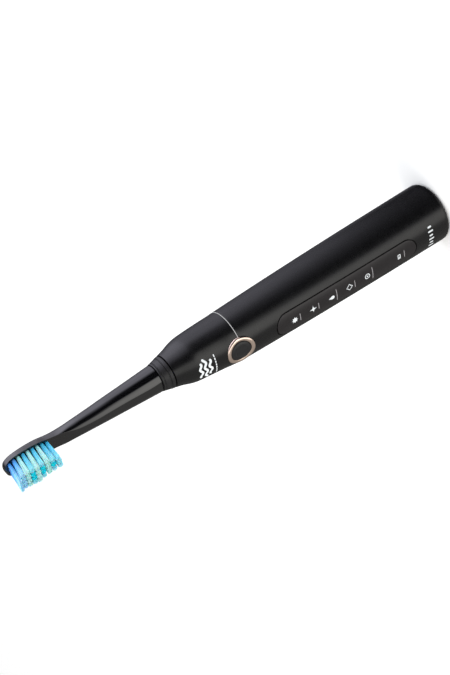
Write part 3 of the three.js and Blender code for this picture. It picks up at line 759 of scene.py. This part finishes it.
def mode_symbols():
    """Plain pictograms over the lights: battery, ring, diamond, drop, sparkle and burst."""
    battery, ring, diamond, drop, sparkle, burst = [z + SYMBOL_RISE for z in LIGHT_Z]
    wide, tall = 1.1 * MM, 0.6 * MM
    corners = [
        (-wide, battery - tall), (wide, battery - tall), (wide, battery + tall), (-wide, battery + tall),
    ]
    outline = []
    for k, start in enumerate(corners):
        stop = corners[(k + 1) % 4]
        outline += [tuple(Vector(start).lerp(Vector(stop), t)) for t in evenly(0, 1, 7)[:-1]]
    charge = [(x * 0.5, z * 0.25) for x, z in round_outline(1.0 * MM)]
    loop = [(x, ring + z) for x, z in round_outline(1.2 * MM)]
    petals = [Vector((0, diamond)) + Vector(point) for point in star(4, 1.6 * MM, 1.05 * MM)]
    return [
        stroke(outline, LINE, closed=True),
        solid_mark((-0.35 * MM, battery), charge),
        stroke(loop, LINE, closed=True),
        solid_mark((0, ring), round_outline(0.42 * MM)),
        stroke([tuple(point) for point in petals], LINE, closed=True),
        solid_mark((0, drop), drop_outline(1.6 * MM)),
        solid_mark((0, sparkle), star(4, 1.9 * MM, 0.62 * MM)),
        solid_mark((0, burst), star(8, 1.6 * MM, 0.95 * MM)),
    ]


LABEL_WIDTHS = [4.0, 6.8, 4.2, 6.5, 3.6, 4.3]  # millimetres
LABEL_DROP = 2.8 * MM
LABEL_LINE = 0.32 * MM


def mode_labels():
    """A plain dash under each pictogram."""
    dashes = []
    for z, width in zip(LIGHT_Z, LABEL_WIDTHS):
        half = width * MM / 2 - 0.3 * MM
        dashes.append(stroke([(x, z - LABEL_DROP) for x in evenly(-half, half, 8)], LABEL_LINE))
    return dashes


WAVES = [(136.2, 3.6), (133.9, 4.9), (131.6, 3.6)]  # level and half width, millimetres
WAVE_HEIGHT = 0.55
WAVE_LINE = 1.05 * MM
DOT_Z = 129 * MM
DOT_SPAN = 4.6 * MM  # half the width of the row of dots
DOT_HALF = 0.35 * MM
DOT_LINE = 0.5 * MM


def shoulder_mark():
    """Three plain wavy lines with a row of dots under them."""
    strokes = []
    steps = evenly(-1, 1, 29)
    for level, half in WAVES:
        wave = [
            (half * s * MM, (level + WAVE_HEIGHT * math.sin(s * half * 1.5)) * MM) for s in steps
        ]
        strokes.append(stroke(wave, WAVE_LINE))
    for x in evenly(-DOT_SPAN, DOT_SPAN, 7):
        strokes.append(stroke([(x - DOT_HALF, DOT_Z), (x + DOT_HALF, DOT_Z)], DOT_LINE))
    return strokes


BAR_Z = 11.5 * MM
BAR_SPAN = 5.2 * MM  # half the width of the row of bars
BAR_REACHES = (1 * MM, 0.6 * MM)  # half heights, in turn
BAR_LINE = 0.8 * MM


def base_mark():
    """A row of short upright bars near the base."""
    bars = []
    for k, x in enumerate(evenly(-BAR_SPAN, BAR_SPAN, 6)):
        reach = BAR_REACHES[k % 2]
        bars.append(stroke([(x, BAR_Z - reach), (x, BAR_Z + reach)], BAR_LINE))
    return bars


def build_marks():
    """All the print, one piece for each group of marks."""
    for name, parts, ink in [
        ("mode_symbols", mode_symbols(), "white_print"),
        ("mode_labels", mode_labels(), "grey_print"),
        ("shoulder_mark", shoulder_mark(), "white_print"),
        ("base_mark", base_mark(), "white_print"),
    ]:
        finished(to_object(name, merged(parts)), "handle", ink)


# ---- drive shaft and seal -------------------------------------------------------------------


def build_shaft():
    """Round steel shaft with a flat near its upper end and a chamfered tip."""
    flat_y = -SHAFT_RADIUS + 0.35 * MM
    flat_low = 150 * MM
    tip = SHAFT_HIGH - 0.5 * MM
    levels = [
        (SHAFT_LOW, SHAFT_RADIUS), (flat_low - 0.01 * MM, SHAFT_RADIUS), (flat_low, SHAFT_RADIUS),
        (tip, SHAFT_RADIUS), (SHAFT_HIGH, SHAFT_RADIUS - 0.5 * MM),
    ]
    rings = []
    for z, radius in levels:
        ring = circle(radius, z, 64)
        if z >= flat_low:
            ring = [Vector((point.x, max(point.y, flat_y), z)) for point in ring]
        rings.append(ring)
    shaft = to_object("shaft", on_shaft_axis(cleaned(loft(rings))))
    finished(shaft, "drive", "steel", replaces=["drive_shaft"])


def build_seal():
    """Rubber boot with a flange under the shoulder's roof, tapering to a lip round the shaft."""
    bore = SHAFT_RADIUS + 0.06 * MM
    shape = [
        (bore, 141), (3.4, 141), (4.1, 143.2), (6, 143.6), (6, 145.3), (4.1, 145.3), (4.1, 147.0),
        (3.2, 147.4), (2.9, 147.9), (2.9, 148.2), (2.5, 148.5), (2.2, 149.2), (bore, 149.2),
    ]
    profile = [(r if r == bore else r * MM, z * MM) for r, z in shape]
    boot = turned(rounded(profile, 0.2 * MM, {6, 7, 8, 9, 10, 11}), 96)
    seal = to_object("seal_boot", on_shaft_axis(boot))
    finished(seal, "handle", "black_rubber", replaces=["shaft_seal"])


# ---- brush head -----------------------------------------------------------------------------


def build_head_ring():
    """Matt collar: a band, a groove, a cone, a second groove and a bead."""
    shape = [
        (4.0, 0.0), (7.62, 0.0), (7.78, 0.22), (7.54, 1.5), (7.16, 1.58), (7.14, 1.84), (7.34, 1.98),
        (6.82, 4.1), (6.5, 4.2), (6.48, 4.44), (6.7, 4.62), (6.66, 5.0), (6.5, 5.3), (4.0, 5.3),
    ]
    scale = (RING_HIGH - RING_LOW) / shape[-1][1]
    profile = [(r * MM, RING_LOW + z * scale) for r, z in shape]
    ring = to_object("collar", on_shaft_axis(turned(rounded(profile, 0.16 * MM, set(range(1, 13))))))
    finished(ring, "brush_head", "matt_black", replaces=["head_ring"])


def millimetres(stations):
    return smooth_between([(z * MM, value * MM) for z, value in stations])


NECK_MM = NECK_LOW / MM
TIP_MM = HEAD_TIP / MM
neck_half_width = millimetres([
    (NECK_MM, 6.4), (158, 6.13), (162, 5.9), (170, 5.45), (178, 5.05), (186, 4.55), (194, 4.15),
    (199, 3.75), (203, 3.45), (206, 3.45), (209, 3.9), (213, 4.8), (217, 5.2), (221, 5.3), (TIP_MM, 5.3),
])
neck_back = millimetres([
    (NECK_MM, 6.4), (158, 6.13), (162, 5.9), (170, 5.48), (178, 5.1), (186, 4.65), (194, 4.3),
    (203, 4.05), (208, 3.8), (214, 3.6), (218, 3.5), (222, 3.3), (226, 3.1), (TIP_MM, 2.9),
])
neck_belly = millimetres([
    (NECK_MM, 6.4), (162, 5.88), (170, 5.35), (178, 4.85), (186, 4.35), (194, 3.7), (200, 3.3),
])
neck_flat = millimetres([
    (NECK_MM, -5.95), (158, -5.8), (162, -5.55), (170, -5), (178, -4.55), (186, -4.1), (194, -3.3),
    (198, -2.5), (201, -1.75), (204, -1), (207, -0.5), (210, -0.35), (214, -0.35), (218, -0.35),
    (TIP_MM, -0.3),
])
HEAD_START = 204 * MM
TIP_START = 219 * MM
TIP_ROUNDING = 1.2 * MM
BACK_POINTS = 72
BELLY_POINTS = 10
FRONT_POINTS = 16
CORNER_POINTS = 5


def mixed(a, b, t):
    t = min(max(t, 0), 1)
    t = t * t * (3 - 2 * t)
    return a + (b - a) * t


def signed_power(value, power):
    return math.copysign(abs(value) ** power, value)


def head_half_width(z):
    half_width = neck_half_width(z)
    if z > TIP_START:
        reach = min((z - TIP_START) / (HEAD_TIP - TIP_START), 1)
        half_width *= (1 - reach**3.6) ** (1 / 2.4)
    return half_width


def section_ring(z):
    """Oval with a flat front, laid out round the shaft's axis. Its front corners are rounded."""
    plate = (z - 196 * MM) / (16 * MM)
    power = mixed(1, 0.45, plate)
    front = neck_flat(z)
    centre = mixed(0, front * 0.93, plate)
    back = neck_back(z) - centre
    belly = mixed(neck_belly(z), 0.4 * MM, plate)
    half_width = head_half_width(z)
    if z > HEAD_TIP - TIP_ROUNDING:
        reach = (z - HEAD_TIP + TIP_ROUNDING) / TIP_ROUNDING
        back -= 1.1 * MM * (1 - math.sqrt(max(1 - reach**2, 0)))
    start = -math.asin(min((centre - front) / belly, 1) ** (1 / power))
    angles = evenly(start, 0, BELLY_POINTS)[:-1] + evenly(0, math.pi, BACK_POINTS)
    angles += evenly(math.pi, math.pi - start, BELLY_POINTS)[1:]
    arc = []
    for t in angles:
        rise = signed_power(math.sin(t), power)
        depth = back if rise > 0 else belly
        arc.append(Vector((half_width * signed_power(math.cos(t), power), centre + depth * rise, z)))
    arc[0].y = front
    arc[-1].y = front
    chord = [arc[-1].lerp(arc[0], t) for t in evenly(0, 1, FRONT_POINTS)]
    radius = min(0.2 * MM, half_width * 0.3)
    left = corner(arc[-2], arc[-1], chord[1], radius)
    right = corner(chord[-2], arc[0], arc[1], radius)
    return left + chord[1:-1] + right + arc[1:-1]


def corner(before, here, after, radius):
    start = here + (before - here).normalized() * min(radius, (before - here).length * 0.8)
    stop = here + (after - here).normalized() * min(radius, (after - here).length * 0.8)
    return [
        (1 - t) ** 2 * start + 2 * t * (1 - t) * here + t**2 * stop for t in evenly(0, 1, CORNER_POINTS)
    ]


def build_neck():
    """Neck and bristle plate in one skin, with a blind socket from below."""
    levels = evenly(NECK_LOW + 0.25 * MM, HEAD_START, 40)
    levels += evenly(HEAD_START, TIP_START, 24)[1:]
    turns = evenly(0, math.pi / 2, 34)[1:]
    levels += [TIP_START + (HEAD_TIP - TIP_START) * math.sin(t) for t in turns]
    rings = [section_ring(z) for z in levels[:-1]]
    rings.append([Vector((p.x * 0.4, p.y, HEAD_TIP - 0.002 * MM)) for p in rings[-1]])
    foot = section_ring(NECK_LOW)
    foot = [Vector((p.x * 0.965, p.y * 0.965, NECK_LOW)) for p in foot]
    bore = 3.5 * MM
    roof = SHAFT_HIGH + 1.2 * MM
    inner = []
    for z in (roof, NECK_LOW):
        around = [Vector((p.x, p.y)).normalized() * bore for p in foot]
        inner.append([Vector((p.x, p.y, z)) for p in around])
    skin = on_shaft_axis(cleaned(loft(inner + [foot] + rings)))
    neck = to_object("neck_and_head", skin, crease=30)
    finished(neck, "brush_head", "gloss_black", replaces=["brush_neck"])


# ---- bristles -------------------------------------------------------------------------------

ROWS = 9
ROW_LEAN = 0.16
NECK_SIDE_LEAN = 0.09  # of the row next to the neck
LEAN_STEP = 0.02
ROW_THICK = 1.6 * MM
OUTER_TINTS = ["cyan", "cyan", "mint", "cyan", "mint", "cyan", "mint", "blue", "blue"]
INNER_TINTS = ["cyan", "teal", "mint", "teal", "mint", "teal", "mint", "blue", "blue"]
FILAMENTS = 88
FILAMENT_RADIUS = 0.12 * MM
FILAMENT_SIDES = 5
STRAND = [(0.0, 1.0), (0.35, 1.0), (0.7, 1.08), (0.95, 1.12), (1.0, 0.6)]  # way along, thickness
TUFT_MARGIN = 1.9 * MM  # from the edge of the plate to the middle of the outer tufts
TUFT_PITCH = 2.0 * MM
TUFT_RADIUS = 0.7 * MM
TUFT_FLARE = 1.6
GOLDEN = math.pi * (3 - math.sqrt(5))


def add_filament(mesh, layers, root, tip, bend, shade):
    """A strand that thickens slightly and ends in a blunt taper. It bends a little on its way."""
    along, tone = layers
    axis = (tip - root).normalized()
    side = axis.cross(Vector((1, 0, 0))).normalized()
    other = axis.cross(side)
    rows = []
    for t, size in STRAND:
        middle = root.lerp(tip, t) + bend * (t * (1 - t) * 4)
        ring = []
        for i in range(FILAMENT_SIDES):
            angle = TAU * i / FILAMENT_SIDES
            reach = FILAMENT_RADIUS * size
            vert = mesh.verts.new(middle + (side * math.cos(angle) + other * math.sin(angle)) * reach)
            vert[along] = t
            vert[tone] = shade
            ring.append(vert)
        rows.append(ring)
    for lower, upper in zip(rows, rows[1:]):
        for i in range(FILAMENT_SIDES):
            j = (i + 1) % FILAMENT_SIDES
            mesh.faces.new((lower[j], lower[i], upper[i], upper[j]))
    mesh.faces.new(rows[0])
    mesh.faces.new(list(reversed(rows[-1])))


def add_tuft(mesh, layers, dice, foot, length, row_lean):
    """A round bundle of strands that flares towards its uneven end."""
    lean = row_lean + dice.uniform(-0.01, 0.01)
    aim = Vector((foot.x * 2, -math.cos(lean), math.sin(lean)))
    for i in range(FILAMENTS):
        reach = TUFT_RADIUS * math.sqrt((i + 0.5) / FILAMENTS)
        angle = GOLDEN * i + dice.uniform(-0.25, 0.25)
        offset = Vector((reach * math.cos(angle), 0, reach * math.sin(angle)))
        flare = TUFT_FLARE + dice.uniform(-0.2, 0.2)
        cut = length + dice.uniform(-0.35, 0.15) * MM
        bend = Vector((dice.uniform(-0.06, 0.06), 0, dice.uniform(-0.06, 0.06))) * MM
        tip = foot + offset * flare + aim * cut
        tip.z = min(tip.z, HEAD_TIP - 2 * FILAMENT_RADIUS)
        add_filament(mesh, layers, foot + offset, tip, bend, dice.random())


def build_row(row):
    """The tufts of one row: the outer two in one tint and the inner ones in another."""
    node = f"bristle_row_{row + 1}"
    low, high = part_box(node)
    level = low.z + ROW_THICK / 2 * math.cos(ROW_LEAN)
    length = (high.y - low.y - ROW_THICK * math.sin(ROW_LEAN)) / math.cos(ROW_LEAN)
    lean = min(NECK_SIDE_LEAN + LEAN_STEP * row, ROW_LEAN)
    sunk = 0.4 * MM
    plate = DRIVE_Y + neck_flat(level) + sunk
    half = head_half_width(level) - TUFT_MARGIN
    places = evenly(-half, half, round(2 * half / TUFT_PITCH) + 1)
    dice = random.Random(100 + row)
    for part, tint, chosen in [
        ("outer", OUTER_TINTS[row], [places[0], places[-1]]),
        ("inner", INNER_TINTS[row], places[1:-1]),
    ]:
        mesh = bmesh.new()
        layers = (mesh.verts.layers.float.new("along"), mesh.verts.layers.float.new("tone"))
        for x in chosen:
            add_tuft(mesh, layers, dice, Vector((x, plate, level)), length + sunk, lean)
        piece = to_object(f"tufts_{row + 1}_{part}", mesh)
        finished(piece, "brush_head", f"bristle_{tint}", replaces=[node])


def build_bristles():
    for row in range(ROWS):
        build_row(row)


# ---- CAD nodes that stay --------------------------------------------------------------------


def dress_cad_nodes():
    """Gives every CAD node the procedural material of its slot in the record."""
    slots = {row["node"]: row["material_slot"] for row in frame["record"]["subparts"]}
    for name, node in frame["nodes"].items():
        node.data.materials.clear()
        node.data.materials.append(MATERIALS[slots[name]])


# ---- stage ----------------------------------------------------------------------------------

FLOOR_REACH = 4
TENT_RADIUS = 0.6
TENT_LOW = -0.9
TENT_HIGH = 1.2
TENT_SIDES = 240
TENT_RINGS = 43
TENT_START = -150  # azimuth where its brightness table begins, degrees
COOL_TINT = (1.0, 0.985, 1.13)
WARM_TINT = (1.0, 0.985, 0.95)


def build_floor():
    mesh = bmesh.new()
    corners = [(-1, -1), (1, -1), (1, 1), (-1, 1)]
    mesh.faces.new([mesh.verts.new((x * FLOOR_REACH, y * FLOOR_REACH, 0)) for x, y in corners])
    floor = to_object("floor", mesh)
    floor.data.materials.append(floor_material())
    floor.visible_glossy = False


def ramp(stops, at):
    """Value at a place between (place, value) stops, in straight steps."""
    for (start, low), (stop, high) in zip(stops, stops[1:]):
        if at <= stop:
            return low + (high - low) * max(at - start, 0) / (stop - start)
    return stops[-1][1]


def tent_glow(azimuth, z):
    """Brightness and tint of the light tent: a cool panel, a dark gap and a warm panel."""
    gap_start = ramp([(-0.1, 33), (-0.03, 48), (0.06, 48), (0.13, 28)], z)
    gap_end = ramp([(-0.1, 64), (-0.03, 93), (0.06, 93), (0.13, 66)], z)
    cool_start = ramp([(-0.2, 140), (-0.1, 125), (-0.03, 116), (0.06, 116), (0.13, 122)], z)
    cool_levels = [
        (-0.25, 0.03), (-0.22, 0.55), (-0.16, 0.9), (-0.11, 1.3), (0.06, 1.4), (0.13, 2.4),
    ]
    cool = ramp(cool_levels, z)
    warm = ramp([(-0.15, 1.6), (-0.03, 1.95), (0.06, 1.95), (0.13, 1.25)], z)
    stops = [
        (TENT_START, 0.1), (-110, 0.16), (-60, 0.3), (-12, 0.42), (-3, warm * 0.85), (16, warm),
        (gap_start - 5, warm * 0.9), (gap_start + 5, 0.02), (gap_end, 0.02), (cool_start, cool),
        (150, cool * 0.85), (172, cool * 0.45), (194, 0.2), (210, 0.1),
    ]
    level = ramp(stops, azimuth)
    tint = COOL_TINT if azimuth > gap_start else WARM_TINT
    return [level * channel for channel in tint]


def build_tent():
    """Cylinder round the stage that lights only what is reflected, like panels beside a product."""
    turns = [TENT_START + 360 * i / TENT_SIDES for i in range(TENT_SIDES)]
    levels = evenly(TENT_LOW, TENT_HIGH, TENT_RINGS)
    rings = []
    for z in levels:
        ring = [direction(math.radians(turn), 0) * TENT_RADIUS for turn in turns]
        rings.append([Vector((point.x, point.y, z)) for point in ring])
    mesh = loft(rings)
    glow = mesh.verts.layers.float_color.new("glow")
    for vert in mesh.verts:
        azimuth = math.degrees(math.atan2(vert.co.x, -vert.co.y))
        azimuth = (azimuth - TENT_START) % 360 + TENT_START
        vert[glow] = (*tent_glow(azimuth, vert.co.z), 1)
    tent = to_object("light_tent", mesh)
    material = bpy.data.materials.new("tent_cloth")
    material.use_nodes = True
    nodes, links = material.node_tree.nodes, material.node_tree.links
    nodes.remove(nodes["Principled BSDF"])
    emission = nodes.new("ShaderNodeEmission")
    attribute = nodes.new("ShaderNodeAttribute")
    attribute.attribute_name = "glow"
    links.new(attribute.outputs["Color"], emission.inputs["Color"])
    links.new(emission.outputs["Emission"], nodes["Material Output"].inputs["Surface"])
    tent.data.materials.append(material)
    tent.visible_camera = False
    tent.visible_diffuse = False
    tent.visible_shadow = False
    tent.visible_transmission = False


# ---- build ----------------------------------------------------------------------------------

add_camera()
add_world()
scene.view_settings.view_transform = "Standard"
build_floor()
build_tent()
area_light("cool_side", 150, COOL)
area_light("warm_front", -40, WARM)

dress_cad_nodes()
build_barrel()
build_shoulder()
build_seam_band()
build_panel()
build_base_cap()
build_bezel()
build_button()
build_marks()
build_shaft()
build_seal()
build_head_ring()
build_neck()
build_bristles()
